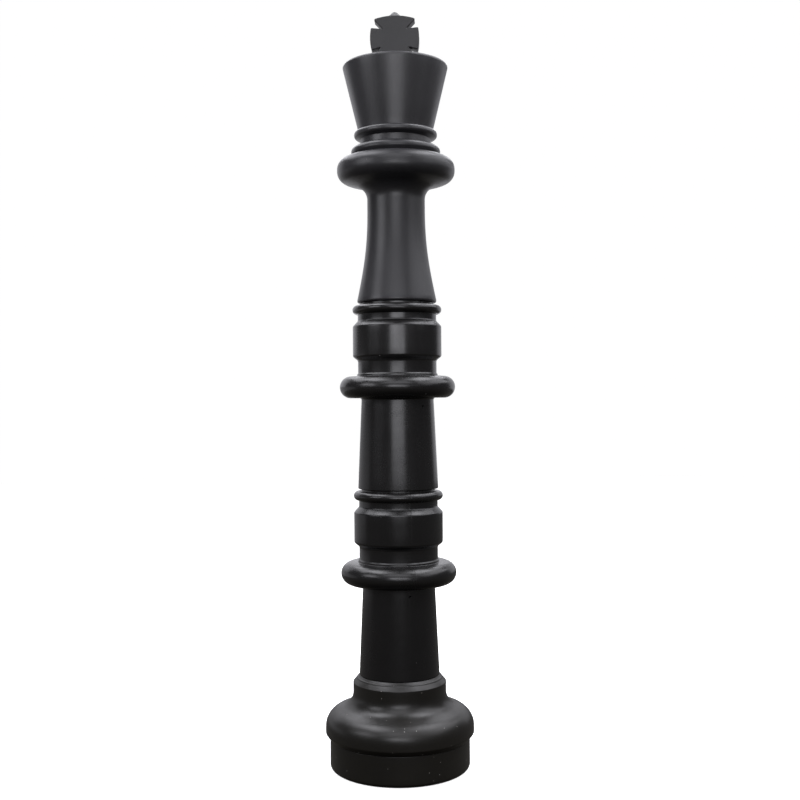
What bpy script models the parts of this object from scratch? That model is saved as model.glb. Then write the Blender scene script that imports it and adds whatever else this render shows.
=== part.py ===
"""A giant garden chess king, raised on two extension sections, as a set of Blender objects.

Units are metres, +Z is up, and the origin is the middle of the foot ring on the ground.
Nearly every piece is a hollow turned shell: its outline is a list of corners (radius, height,
rounding), and the outline is spun about Z. The cross on top is a bevelled slab on a round stem.
"""

import math

import bmesh
import bpy
from mathutils import Matrix, Vector

MM = 0.001
GAP = 0.3 * MM  # clearance between two pieces that touch
WALL = 3.0 * MM  # thickness of a moulded shell
OVERLAP = 1.0 * MM  # how deep an added solid sinks into its piece
SEGMENTS = 24  # flats round a turned piece, a multiple of four
ARC_STEP = math.radians(46)  # the most that one facet of a rounded corner turns
SMALL_ROUND = 5.1 * MM  # a rounding up to this size is a plain chamfer
BEND_STEPS = 5
BEND_PULL = 0.39  # length of a bend's handles, as a share of its chord
WELD = 1e-6
SHARP_ANGLE = math.radians(40)

# Base: a ballast drum under a bell-shaped cover.
DRUM_RADIUS = 114.9 * MM
DRUM_FOOT_ROUND = 7.2 * MM
DRUM_SHOULDER = 49.8 * MM
DRUM_RIM_RADIUS = 111.5 * MM
DRUM_RIM_TOP = 66.0 * MM
DRUM_FLOOR = 4.0 * MM  # height of the underside inside the foot ring
FOOT_RING_INNER = 88.0 * MM
BELL_RADIUS = 122.2 * MM
BELL_LIP_RADIUS = 116.0 * MM
BELL_LIP_BOTTOM = 50.3 * MM
BELL_LIP_TOP = 58.5 * MM
BELL_LIP_ROUND = 3.0 * MM
BELL_SHOULDER = 90.0 * MM  # where the upright side would meet the slope
BELL_SHOULDER_ROUND = 30.0 * MM
BELL_WAIST = 106.5 * MM  # where the slope would meet the neck
BELL_WAIST_ROUND = 25.0 * MM
BELL_NECK_RADIUS = 76.6 * MM
BELL_NECK_TOP = 140.2 * MM
BELL_BEVEL_RADIUS = 65.6 * MM
BASE_TOP = 152.2 * MM

# Filler in the underside of the drum.
RECESS_RADIUS = 33.0 * MM
RECESS_ROOF = 26.0 * MM
FILLER_RADIUS = 20.4 * MM
FILLER_TOP = 41.0 * MM
PLUG_SHANK_RADIUS = 20.0 * MM
PLUG_SHANK_TOP = 40.0 * MM
PLUG_HEAD_RADIUS = 31.0 * MM
PLUG_HEAD_BOTTOM = 17.5 * MM
PLUG_HEAD_TOP = 23.5 * MM
PLUG_ROUND = 1.5 * MM
GRIP_BAR = (23.0 * MM, 4.0 * MM, 4.0 * MM)  # half length, half width, depth
SEAL_OUTER = 29.0 * MM
SEAL_THICKNESS = 1.9 * MM
BALLAST_TOP = 45.0 * MM

# Push fit between sections.
SPIGOT_ROOT = 55.0 * MM
SPIGOT_TIP = 53.0 * MM
SPIGOT_HEIGHT = 28.0 * MM
SPIGOT_ROUND = 2.0 * MM
SOCKET_DEPTH = 30.0 * MM
SOCKET_PLAY = 0.5 * MM
SEAT_RADIUS = 60.5 * MM

# Extension section; heights are from its own bottom edge.
PITCH = 305.0 * MM  # how much one extension raises the king
EXTENSION_FOOT_RADIUS = 66.1 * MM
EXTENSION_FOOT_ROUND = 1.2 * MM
EXTENSION_STEM_RADIUS = 59.4 * MM
EXTENSION_STEM_ROUND = 3.0 * MM
COLLAR_RADIUS = 95.0 * MM
COLLAR_BOTTOM = 148.5 * MM
COLLAR_TOP = 184.5 * MM
COLLAR_ROUND = 17.9 * MM
STEP_RADIUS = 66.6 * MM  # of the low step on top of the collar
STEP_HEIGHT = 3.4 * MM
STEP_SLOPE = 1.8 * MM
WAIST_RADIUS = 64.8 * MM
BAND_RADIUS = 73.1 * MM
BAND_BOTTOM = 216.6 * MM
BAND_TOP = 266.4 * MM
BAND_RISE = 6.4 * MM  # height of the slope under the band
BAND_FALL = 8.8 * MM  # height of the slope over the band
BAND_ROUND = 5.0 * MM
BAND_EASE = 2.0 * MM  # how far the hollow's corners stand off the band's
BEAD_RADIUS = 73.4 * MM
BEAD_BOTTOM = 286.0 * MM
BEAD_TOP = 300.8 * MM
BEAD_ROUND = 7.3 * MM
BEAD_FOOT_ROUND = 0.8 * MM
VENT_RADIUS = 1.0 * MM
VENT_HEIGHT = 135.0 * MM
LOWER_VENT_TURN = math.radians(17)
UPPER_VENT_TURN = math.radians(43)

# King's neck; heights are from its own bottom edge.
NECK_FOOT_RADIUS = 65.2 * MM
NECK_FOOT_ROUND = 3.0 * MM
NECK_STEM_START = 4.0 * MM
NECK_FLARE = -0.21  # radius lost per unit of height just above the foot
NECK_RADIUS = 47.5 * MM
NECK_WAIST = (155.0 * MM, 166.0 * MM)
NECK_UNDERSIDE = 188.0 * MM  # where the neck would meet the slope under the collar
NECK_UNDERSIDE_ROUND = 24.0 * MM
KING_COLLAR_RADIUS = 96.9 * MM
KING_COLLAR_LOW = 202.3 * MM
KING_COLLAR_HIGH = 235.2 * MM
KING_COLLAR_ROUND = 18.0 * MM
RIDGE_FOOT = (68.5 * MM, 239.6 * MM)  # where the ridge leaves the collar
RIDGE_RADIUS = 73.4 * MM
RIDGE_LOW = 245.5 * MM
RIDGE_LOW_ROUND = 4.5 * MM
RIDGE_ROUND = 8.6 * MM
NECK_TOP = 256.6 * MM
CROWN_SPIGOT_RADIUS = 44.0 * MM
CROWN_SPIGOT_TOP = 275.0 * MM
BLOW_HOLE_RADIUS = 8.0 * MM

# Crown; heights are from the bottom edge of the neck.
CROWN_BOTTOM = NECK_TOP + GAP
CROWN_GROOVE_RADIUS = 57.8 * MM
CROWN_GROOVE_TOP = 268.3 * MM
CROWN_BEAD_RADIUS = 68.3 * MM
CROWN_BEAD_LOW = 272.2 * MM
CROWN_BEAD_LOW_ROUND = 4.5 * MM
CROWN_BEAD_ROUND = 5.2 * MM
CROWN_FOOT = 282.0 * MM
CROWN_FOOT_RADIUS = 61.3 * MM
CROWN_RIM = 388.7 * MM
CROWN_RIM_RADIUS = 87.3 * MM
CROWN_RIM_ROUND = 3.0 * MM
CROWN_RISE = 11.0 * MM  # how far the lid domes up above the rim
LID_STEPS = 4

# Cross; heights are from its own middle.
CROSS_HEIGHT = 1197.0 * MM  # of its middle above the ground
CROSS_TURN = math.radians(-2.5)  # its face looks slightly to the left
CROSS_THICKNESS = 22.0 * MM
CROSS_BEVEL = 1.6 * MM
CROSS_ARM_TOP = (34.2 * MM, 30.8 * MM)  # outer corner of the top arm
CROSS_TOP_RISE = 6.0 * MM  # how far the top arm's end bows outwards
CROSS_NOTCH_UPPER = (19.8 * MM, 15.2 * MM)
CROSS_SIDE_UPPER = (39.0 * MM, 17.2 * MM)
CROSS_SIDE_BULGE = 1.8 * MM
CROSS_SIDE_LOWER = (38.0 * MM, -19.2 * MM)
CROSS_NOTCH_LOWER = (22.8 * MM, -15.0 * MM)
CROSS_FOOT_HALF = 37.0 * MM
CROSS_SIDE_STEPS = 4
CROSS_TOP_STEPS = 6
NUB_TIP_HALF = 3.0 * MM
NUB_HALF_WIDTH = 11.0 * MM
NUB_HEIGHT = 8.8 * MM
NUB_HOLLOW = 1.8 * MM  # how far each flank of the nub bows inwards
NUB_STEPS = 4
NUB_THICKNESS = 5.0 * MM
STEM_RADIUS = 9.0 * MM
STEM_ROUND = 1.0 * MM
STEM_LENGTH = 24.0 * MM
STEM_HOLE_SPARE = 1.0 * MM  # air under the stem's end
STEM_SUNK = 4.0 * MM  # how far the stem reaches into the cross

# Where each section starts above the ground.
LOWER_START = BASE_TOP + GAP
UPPER_START = LOWER_START + PITCH
KING_START = UPPER_START + PITCH
CROSS_START = KING_START + CROWN_RIM + CROWN_RISE + GAP


# ---------------------------------------------------------------- outlines


def arc_between(corner, before, after, radius):
    """Points of the arc of a given radius that rounds the corner between two neighbours."""
    to_before = (before - corner).normalized()
    to_after = (after - corner).normalized()
    half = to_before.angle(to_after) / 2
    turn = math.pi - 2 * half
    reach = radius / math.tan(half)
    middle = corner + (to_before + to_after).normalized() * (radius / math.sin(half))
    start = corner + to_before * reach - middle
    stop = corner + to_after * reach - middle
    steps = 1 if radius < SMALL_ROUND else math.ceil(turn / ARC_STEP)
    sign = 1 if start.x * stop.y - start.y * stop.x > 0 else -1
    points = []
    for i in range(steps + 1):
        angle = sign * turn * i / steps
        points.append(middle + Matrix.Rotation(angle, 2) @ start)
    return points


def rounded(corners):
    """An outline from corners (radius, height, rounding); an end or a sharp corner has none."""
    places = [Vector(corner[:2]) for corner in corners]
    points = []
    for i, corner in enumerate(corners):
        if len(corner) < 3 or i in (0, len(corners) - 1):
            points.append(places[i])
        else:
            points.extend(arc_between(places[i], places[i - 1], places[i + 1], corner[2]))
    return points


def bend(start, start_slope, stop, stop_slope):
    """A smooth cubic between two points; a slope is the radius gained per unit of height."""
    first = Vector(start)
    last = Vector(stop)
    handle = BEND_PULL * (last - first).length
    second = first + Vector((start_slope, 1)).normalized() * handle
    third = last - Vector((stop_slope, 1)).normalized() * handle
    points = []
    for i in range(BEND_STEPS + 1):
        t = i / BEND_STEPS
        s = 1 - t
        points.append(
            first * s**3 + second * 3 * s * s * t + third * 3 * s * t * t + last * t**3
        )
    return points


def raised(points, height):
    """The same outline, moved up by a height."""
    return [Vector((point[0], point[1] + height)) for point in points]


# ---------------------------------------------------------------- meshes and objects


def material(name, colour, roughness, metallic=0.0):
    made = bpy.data.materials.new(name)
    made.use_nodes = True
    shader = made.node_tree.nodes["Principled BSDF"]
    shader.inputs["Base Color"].default_value = (*colour, 1.0)
    shader.inputs["Roughness"].default_value = roughness
    shader.inputs["Metallic"].default_value = metallic
    return made


def object_of(name, mesh, finish, parent):
    """A smooth-shaded piece; its parent is the empty on the axis that it moves along."""
    made = bpy.data.objects.new(name, mesh)
    bpy.context.scene.collection.objects.link(made)
    made.parent = parent
    made.matrix_parent_inverse = parent.matrix_world.inverted()
    mesh.materials.append(finish)
    mesh.shade_smooth()
    mesh.set_sharp_from_angle(angle=SHARP_ANGLE)
    return made


def axis_empty(name, height, parent=None):
    """An empty on the king's axis, which a whole section hangs from."""
    empty = bpy.data.objects.new(name, None)
    empty.location = (0, 0, height)
    bpy.context.scene.collection.objects.link(empty)
    if parent:
        empty.parent = parent
        empty.matrix_parent_inverse = parent.matrix_world.inverted()
    bpy.context.view_layer.update()
    return empty


def turned_mesh(name, outline, ring=False):
    """A mesh spun about Z from an outline that starts and ends on the axis, or is a ring."""
    shape = bmesh.new()
    corners = [shape.verts.new((radius, 0, height)) for radius, height in outline]
    edges = [shape.edges.new(pair) for pair in zip(corners, corners[1:])]
    if ring:
        edges.append(shape.edges.new((corners[-1], corners[0])))
    bmesh.ops.spin(
        shape,
        geom=corners + edges,
        axis=(0, 0, 1),
        cent=(0, 0, 0),
        steps=SEGMENTS,
        angle=math.tau,
        use_merge=True,
    )
    bmesh.ops.remove_doubles(shape, verts=shape.verts, dist=WELD)
    bmesh.ops.recalc_face_normals(shape, faces=shape.faces)
    mesh = bpy.data.meshes.new(name)
    shape.to_mesh(mesh)
    shape.free()
    return mesh


def prism_mesh(name, outline, thickness, bevel=0.0, turn=0.0):
    """An upright slab from (x, z) points going round once, turned about Z by an angle."""
    shape = bmesh.new()
    front = [shape.verts.new((x, -thickness / 2, z)) for x, z in outline]
    back = [shape.verts.new((x, thickness / 2, z)) for x, z in outline]
    count = len(outline)
    faces = [shape.faces.new(front), shape.faces.new(back)]
    for i in range(count):
        after = (i + 1) % count
        shape.faces.new((front[i], front[after], back[after], back[i]))
    bmesh.ops.recalc_face_normals(shape, faces=shape.faces)
    if bevel:
        rims = [edge for face in faces for edge in face.edges]
        bmesh.ops.bevel(shape, geom=rims, offset=bevel, segments=2, profile=0.5, affect="EDGES")
    turn = Matrix.Rotation(turn, 4, "Z")
    bmesh.ops.transform(shape, matrix=turn, verts=shape.verts)
    mesh = bpy.data.meshes.new(name)
    shape.to_mesh(mesh)
    shape.free()
    return mesh


def combine(piece, name, mesh, operation):
    """Adds a helper solid to a piece, or takes it away; the helper stays as a wire guide."""
    helper = bpy.data.objects.new(name, mesh)
    bpy.context.scene.collection.objects.link(helper)
    helper.parent = piece.parent
    helper.matrix_parent_inverse = piece.matrix_parent_inverse
    helper.hide_render = True
    helper.display_type = "WIRE"
    step = piece.modifiers.new(name, "BOOLEAN")
    step.operation = operation
    step.solver = "EXACT"
    step.object = helper


# ---------------------------------------------------------------- shared shapes


def spigot(root):
    """Outline of the plug on top of a section, from above its root to the axis."""
    top = root + SPIGOT_HEIGHT
    return rounded([(SPIGOT_ROOT, root), (SPIGOT_TIP, top, SPIGOT_ROUND), (0.0, top)])[1:]


def socket(inner):
    """Outline of the hole under a section, from a radius at its roof down to its mouth."""
    return rounded(
        [
            (inner, SOCKET_DEPTH),
            (SPIGOT_TIP + SOCKET_PLAY, SOCKET_DEPTH),
            (SPIGOT_ROOT + SOCKET_PLAY, 0.0),
        ]
    )


# ---------------------------------------------------------------- base


def base_drum(finish, parent):
    """The ballast tub: foot ring, side wall with a stepped rim, and the filler's recess."""
    wall_inner = DRUM_RADIUS - WALL
    outline = rounded(
        [
            (FOOT_RING_INNER, 0.0),
            (DRUM_RADIUS, 0.0, DRUM_FOOT_ROUND),
            (DRUM_RADIUS, DRUM_SHOULDER),
            (DRUM_RIM_RADIUS, DRUM_SHOULDER),
            (DRUM_RIM_RADIUS, DRUM_RIM_TOP),
            (DRUM_RIM_RADIUS - WALL, DRUM_RIM_TOP),
            (DRUM_RIM_RADIUS - WALL, DRUM_SHOULDER - WALL),
            (wall_inner, DRUM_SHOULDER - 2 * WALL),
            (wall_inner, DRUM_FLOOR + WALL, DRUM_FOOT_ROUND - WALL),
            (RECESS_RADIUS + WALL, DRUM_FLOOR + WALL),
            (RECESS_RADIUS + WALL, RECESS_ROOF + WALL),
            (FILLER_RADIUS + WALL, RECESS_ROOF + WALL),
            (FILLER_RADIUS + WALL, FILLER_TOP),
            (FILLER_RADIUS, FILLER_TOP),
            (FILLER_RADIUS, RECESS_ROOF),
            (RECESS_RADIUS, RECESS_ROOF),
            (RECESS_RADIUS, DRUM_FLOOR),
            (FOOT_RING_INNER, DRUM_FLOOR),
        ]
    )
    mesh = turned_mesh("base_drum", outline, ring=True)
    return object_of("base_drum", mesh, finish, parent)


def base_bell(finish, parent):
    """The cover over the drum: chamfered lip, ogee shoulder, bevelled neck and spigot."""
    seat = BASE_TOP
    outer = rounded(
        [
            (DRUM_RIM_RADIUS + GAP, BELL_LIP_BOTTOM),
            (BELL_LIP_RADIUS, BELL_LIP_BOTTOM),
            (BELL_RADIUS, BELL_LIP_TOP, BELL_LIP_ROUND),
            (BELL_RADIUS, BELL_SHOULDER, BELL_SHOULDER_ROUND),
            (BELL_NECK_RADIUS, BELL_WAIST, BELL_WAIST_ROUND),
            (BELL_NECK_RADIUS, BELL_NECK_TOP),
            (BELL_BEVEL_RADIUS, seat),
            (SPIGOT_ROOT, seat),
        ]
    )
    inner = rounded(
        [
            (0.0, seat + SPIGOT_HEIGHT - WALL),
            (SPIGOT_TIP - WALL, seat + SPIGOT_HEIGHT - WALL),
            (SPIGOT_ROOT - WALL, seat - WALL),
            (BELL_BEVEL_RADIUS - WALL, seat - WALL),
            (BELL_NECK_RADIUS - WALL, BELL_NECK_TOP - WALL),
            (BELL_NECK_RADIUS - WALL, BELL_WAIST - WALL, BELL_WAIST_ROUND + WALL),
            (BELL_RADIUS - WALL, BELL_SHOULDER - WALL, BELL_SHOULDER_ROUND - 2 * WALL),
            (BELL_RADIUS - WALL, DRUM_RIM_TOP + WALL),
            (DRUM_RIM_RADIUS + GAP, DRUM_RIM_TOP),
        ]
    )
    mesh = turned_mesh("base_bell", inner + outer + spigot(seat))
    return object_of("base_bell", mesh, finish, parent)


def sand_ballast(finish, parent):
    """The sand in the drum, levelled, round the filler's recess."""
    outline = rounded(
        [
            (RECESS_RADIUS + WALL + GAP, DRUM_FLOOR + WALL + GAP),
            (DRUM_RADIUS - WALL - GAP, DRUM_FLOOR + WALL + GAP, DRUM_FOOT_ROUND),
            (DRUM_RADIUS - WALL - GAP, DRUM_SHOULDER - 2 * WALL - GAP),
            (DRUM_RIM_RADIUS - WALL - GAP, BALLAST_TOP),
            (RECESS_RADIUS + WALL + GAP, BALLAST_TOP),
        ]
    )
    mesh = turned_mesh("sand_ballast", outline, ring=True)
    return object_of("sand_ballast", mesh, finish, parent)


def filler_plug(finish, parent):
    """Screw plug under the drum: plain shank, round head and a bar to turn it by."""
    outline = rounded(
        [
            (0.0, PLUG_SHANK_TOP),
            (PLUG_SHANK_RADIUS, PLUG_SHANK_TOP, PLUG_ROUND),
            (PLUG_SHANK_RADIUS, PLUG_HEAD_TOP),
            (PLUG_HEAD_RADIUS, PLUG_HEAD_TOP, PLUG_ROUND),
            (PLUG_HEAD_RADIUS, PLUG_HEAD_BOTTOM, PLUG_ROUND),
            (0.0, PLUG_HEAD_BOTTOM),
        ]
    )
    plug = object_of("filler_plug", turned_mesh("filler_plug", outline), finish, parent)
    half_length, half_width, depth = GRIP_BAR
    low = PLUG_HEAD_BOTTOM - depth
    high = PLUG_HEAD_BOTTOM + OVERLAP
    bar = [(-half_length, low), (half_length, low), (half_length, high), (-half_length, high)]
    combine(plug, "plug_grip", prism_mesh("plug_grip", bar, 2 * half_width), "UNION")
    return plug


def filler_seal(finish, parent):
    """Flat ring pressed between the plug's head and the roof of the recess."""
    bottom = PLUG_HEAD_TOP + GAP
    outline = rounded(
        [
            (FILLER_RADIUS, bottom),
            (SEAL_OUTER, bottom),
            (SEAL_OUTER, bottom + SEAL_THICKNESS),
            (FILLER_RADIUS, bottom + SEAL_THICKNESS),
        ]
    )
    mesh = turned_mesh("filler_seal", outline, ring=True)
    return object_of("filler_seal", mesh, finish, parent)


# ---------------------------------------------------------------- extension sections


def extension_outer():
    """Outside of an extension, from its bottom edge up to the root of its spigot."""
    return rounded(
        [
            (SPIGOT_ROOT + SOCKET_PLAY, 0.0),
            (EXTENSION_FOOT_RADIUS, 0.0, EXTENSION_FOOT_ROUND),
            (EXTENSION_STEM_RADIUS, COLLAR_BOTTOM, EXTENSION_STEM_ROUND),
            (COLLAR_RADIUS, COLLAR_BOTTOM, COLLAR_ROUND),
            (COLLAR_RADIUS, COLLAR_TOP, COLLAR_ROUND),
            (STEP_RADIUS, COLLAR_TOP),
            (STEP_RADIUS, COLLAR_TOP + STEP_HEIGHT),
            (WAIST_RADIUS, COLLAR_TOP + STEP_HEIGHT + STEP_SLOPE),
            (WAIST_RADIUS, BAND_BOTTOM - BAND_RISE, BAND_ROUND),
            (BAND_RADIUS, BAND_BOTTOM, BAND_ROUND),
            (BAND_RADIUS, BAND_TOP, BAND_ROUND),
            (WAIST_RADIUS, BAND_TOP + BAND_FALL, BAND_ROUND),
            (WAIST_RADIUS, BEAD_BOTTOM, BEAD_FOOT_ROUND),
            (BEAD_RADIUS, BEAD_BOTTOM, BEAD_ROUND),
            (BEAD_RADIUS, BEAD_TOP, BEAD_ROUND),
            (SEAT_RADIUS, BEAD_TOP),
            (SEAT_RADIUS, PITCH - GAP),
            (SPIGOT_ROOT, PITCH - GAP),
        ]
    )


def extension_hollow():
    """The air inside an extension, as a solid to cut away."""
    waist = WAIST_RADIUS - WALL
    return rounded(
        [
            (0.0, SOCKET_DEPTH + WALL),
            (SPIGOT_TIP + SOCKET_PLAY + WALL, SOCKET_DEPTH + WALL),
            (SPIGOT_ROOT + SOCKET_PLAY + WALL, WALL),
            (EXTENSION_FOOT_RADIUS - WALL, WALL),
            (EXTENSION_STEM_RADIUS - WALL, COLLAR_BOTTOM + WALL),
            (COLLAR_RADIUS - WALL, COLLAR_BOTTOM + WALL, COLLAR_ROUND - WALL),
            (COLLAR_RADIUS - WALL, COLLAR_TOP - WALL, COLLAR_ROUND - WALL),
            (waist, COLLAR_TOP - WALL),
            (waist, BAND_BOTTOM - WALL - BAND_EASE),
            (BAND_RADIUS - WALL, BAND_BOTTOM + BAND_EASE),
            (BAND_RADIUS - WALL, BAND_TOP - BAND_EASE),
            (waist, BAND_TOP + BAND_FALL - BAND_EASE),
            (waist, BEAD_TOP - WALL),
            (SPIGOT_ROOT - WALL, BEAD_TOP - WALL),
            (SPIGOT_TIP - WALL, PITCH + SPIGOT_HEIGHT - WALL),
            (0.0, PITCH + SPIGOT_HEIGHT - WALL),
        ]
    )


def vent_mesh(name, height, turn):
    """A drill through the front of a section's wall, turned about the axis by an angle."""
    drill = bmesh.new()
    reach = Matrix.Translation((0, -EXTENSION_STEM_RADIUS, height))
    bmesh.ops.create_cone(
        drill,
        cap_ends=True,
        segments=8,
        radius1=VENT_RADIUS,
        radius2=VENT_RADIUS,
        depth=4 * WALL,
        matrix=Matrix.Rotation(turn, 4, "Z") @ reach @ Matrix.Rotation(math.pi / 2, 4, "X"),
    )
    mesh = bpy.data.meshes.new(name)
    drill.to_mesh(mesh)
    drill.free()
    return mesh


def extension(name, start, vent_turn, finish, parent):
    """One raising section; the needle hole left by moulding opens its hollow to the air."""
    outline = socket(0.0) + extension_outer()[1:] + spigot(PITCH - GAP)
    shell = object_of(name, turned_mesh(name, raised(outline, start)), finish, parent)
    hollow = turned_mesh(name + "_hollow", raised(extension_hollow(), start))
    combine(shell, name + "_hollow", hollow, "DIFFERENCE")
    vent = vent_mesh(name + "_vent", start + VENT_HEIGHT, vent_turn)
    combine(shell, name + "_vent", vent, "DIFFERENCE")
    return shell


# ---------------------------------------------------------------- king


def king_neck(finish, parent):
    """Tapering neck with the wide collar and the ridge above it, open at both ends."""
    waist_low, waist_high = NECK_WAIST
    narrow = NECK_RADIUS - WALL
    foot = rounded(
        [
            (SPIGOT_ROOT + SOCKET_PLAY, 0.0),
            (NECK_FOOT_RADIUS, 0.0, NECK_FOOT_ROUND),
            (NECK_FOOT_RADIUS, 2 * NECK_FOOT_ROUND),
        ]
    )[1:-1]
    stem_foot = (NECK_FOOT_RADIUS, NECK_STEM_START)
    stem = bend(stem_foot, NECK_FLARE, (NECK_RADIUS, waist_low), 0.0)
    head = rounded(
        [
            (NECK_RADIUS, waist_high),
            (NECK_RADIUS, NECK_UNDERSIDE, NECK_UNDERSIDE_ROUND),
            (KING_COLLAR_RADIUS, KING_COLLAR_LOW, KING_COLLAR_ROUND),
            (KING_COLLAR_RADIUS, KING_COLLAR_HIGH, KING_COLLAR_ROUND),
            RIDGE_FOOT,
            (RIDGE_RADIUS, RIDGE_LOW, RIDGE_LOW_ROUND),
            (RIDGE_RADIUS, NECK_TOP, RIDGE_ROUND),
            (CROWN_SPIGOT_RADIUS, NECK_TOP),
            (CROWN_SPIGOT_RADIUS, CROWN_SPIGOT_TOP),
            (CROWN_SPIGOT_RADIUS - WALL, CROWN_SPIGOT_TOP),
            (CROWN_SPIGOT_RADIUS - WALL, NECK_TOP - WALL),
            (RIDGE_RADIUS - 2 * WALL, NECK_TOP - 2 * WALL),
            (RIDGE_FOOT[0] - WALL, RIDGE_FOOT[1] - WALL),
            (KING_COLLAR_RADIUS - WALL, KING_COLLAR_HIGH - WALL, KING_COLLAR_ROUND - WALL),
            (KING_COLLAR_RADIUS - WALL, KING_COLLAR_LOW + WALL, KING_COLLAR_ROUND - WALL),
            (narrow, NECK_UNDERSIDE + WALL, NECK_UNDERSIDE_ROUND),
            (narrow, waist_high),
        ]
    )
    roof = SOCKET_DEPTH + WALL
    inner_foot = (SPIGOT_TIP + SOCKET_PLAY, roof)
    stem_inner = bend(inner_foot, NECK_FLARE, (narrow, waist_low), 0.0)
    outline = socket(BLOW_HOLE_RADIUS) + foot + stem + head + list(reversed(stem_inner))
    outline.append(Vector((BLOW_HOLE_RADIUS, roof)))
    mesh = turned_mesh("king_neck", raised(outline, KING_START), ring=True)
    return object_of("king_neck", mesh, finish, parent)


def crown_lid(inset, steps):
    """Points across the domed lid, from near the rim in to a given radius."""
    edge = CROWN_RIM_RADIUS - 2 * WALL
    points = []
    for i in range(steps + 1):
        radius = edge + (inset - edge) * i / steps
        points.append(Vector((radius, CROWN_RIM + CROWN_RISE * (1 - (radius / edge) ** 2))))
    return points


def king_crown(finish, parent):
    """Flaring crown with a bead at its foot, a domed lid and a blind hole for the cross."""
    hole = STEM_RADIUS + GAP
    lid = crown_lid(hole, LID_STEPS)
    lid_top = lid[-1].y
    hole_floor = lid_top - STEM_LENGTH - STEM_HOLE_SPARE
    outline = rounded(
        [
            (0.0, hole_floor - WALL),
            (hole + WALL, hole_floor - WALL),
            (hole + WALL, lid_top - WALL),
            (CROWN_RIM_RADIUS - 2 * WALL, CROWN_RIM - WALL),
            (CROWN_FOOT_RADIUS - WALL, CROWN_FOOT),
            (CROWN_FOOT_RADIUS - WALL, CROWN_SPIGOT_TOP + WALL),
            (CROWN_SPIGOT_RADIUS + GAP, CROWN_SPIGOT_TOP),
            (CROWN_SPIGOT_RADIUS + GAP, CROWN_BOTTOM),
            (CROWN_GROOVE_RADIUS, CROWN_BOTTOM),
            (CROWN_GROOVE_RADIUS, CROWN_GROOVE_TOP),
            (CROWN_BEAD_RADIUS, CROWN_BEAD_LOW, CROWN_BEAD_LOW_ROUND),
            (CROWN_BEAD_RADIUS, CROWN_FOOT, CROWN_BEAD_ROUND),
            (CROWN_FOOT_RADIUS, CROWN_FOOT),
            (CROWN_RIM_RADIUS, CROWN_RIM, CROWN_RIM_ROUND),
            tuple(lid[0]),
        ]
    )
    outline += lid[1:] + [Vector((hole, hole_floor)), Vector((0.0, hole_floor))]
    mesh = turned_mesh("king_crown", raised(outline, KING_START))
    return object_of("king_crown", mesh, finish, parent)


# ---------------------------------------------------------------- cross


def bowed(start, stop, bow, steps):
    """Points from start to stop, bowed out sideways by a parabola; the ends are included."""
    first = Vector(start)
    along = Vector(stop) - first
    out = Vector((-along.y, along.x)).normalized() * bow
    points = []
    for i in range(steps + 1):
        t = i / steps
        points.append(first + along * t + out * 4 * t * (1 - t))
    return points


def cross_outline(foot):
    """The cross pattee seen from the front, as (x, z) points from its own middle."""
    right = [Vector(CROSS_ARM_TOP), Vector(CROSS_NOTCH_UPPER)]
    right += bowed(CROSS_SIDE_UPPER, CROSS_SIDE_LOWER, CROSS_SIDE_BULGE, CROSS_SIDE_STEPS)
    right += [Vector(CROSS_NOTCH_LOWER), Vector((CROSS_FOOT_HALF, foot))]
    left = [Vector((-point.x, point.y)) for point in reversed(right)]
    top_left = Vector((-CROSS_ARM_TOP[0], CROSS_ARM_TOP[1]))
    top = bowed(top_left, CROSS_ARM_TOP, CROSS_TOP_RISE, CROSS_TOP_STEPS)[1:-1]
    return right + left + top


def nub_outline():
    """The moulding nub on top of the cross, with hollow flanks, as (x, z) points."""
    base = CROSS_ARM_TOP[1] + CROSS_TOP_RISE
    tip = base + NUB_HEIGHT
    right = bowed((NUB_TIP_HALF, tip), (NUB_HALF_WIDTH, base - OVERLAP), -NUB_HOLLOW, NUB_STEPS)
    left = [Vector((-point.x, point.y)) for point in reversed(right)]
    return right + left


def cross(finish, parent):
    """The finial: a bevelled slab, the nub on its top arm and the stem under its foot."""
    foot = CROSS_START - CROSS_HEIGHT
    outline = raised(cross_outline(foot), CROSS_HEIGHT)
    slab = prism_mesh("cross", outline, CROSS_THICKNESS, CROSS_BEVEL, CROSS_TURN)
    piece = object_of("cross", slab, finish, parent)
    nub = raised(nub_outline(), CROSS_HEIGHT)
    nub = prism_mesh("cross_nub", nub, NUB_THICKNESS, turn=CROSS_TURN)
    combine(piece, "cross_nub", nub, "UNION")
    stem = rounded(
        [
            (0.0, CROSS_START - STEM_LENGTH),
            (STEM_RADIUS, CROSS_START - STEM_LENGTH, STEM_ROUND),
            (STEM_RADIUS, CROSS_START + STEM_SUNK),
            (0.0, CROSS_START + STEM_SUNK),
        ]
    )
    combine(piece, "cross_stem", turned_mesh("cross_stem", stem), "UNION")
    return piece


# ---------------------------------------------------------------- build


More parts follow.
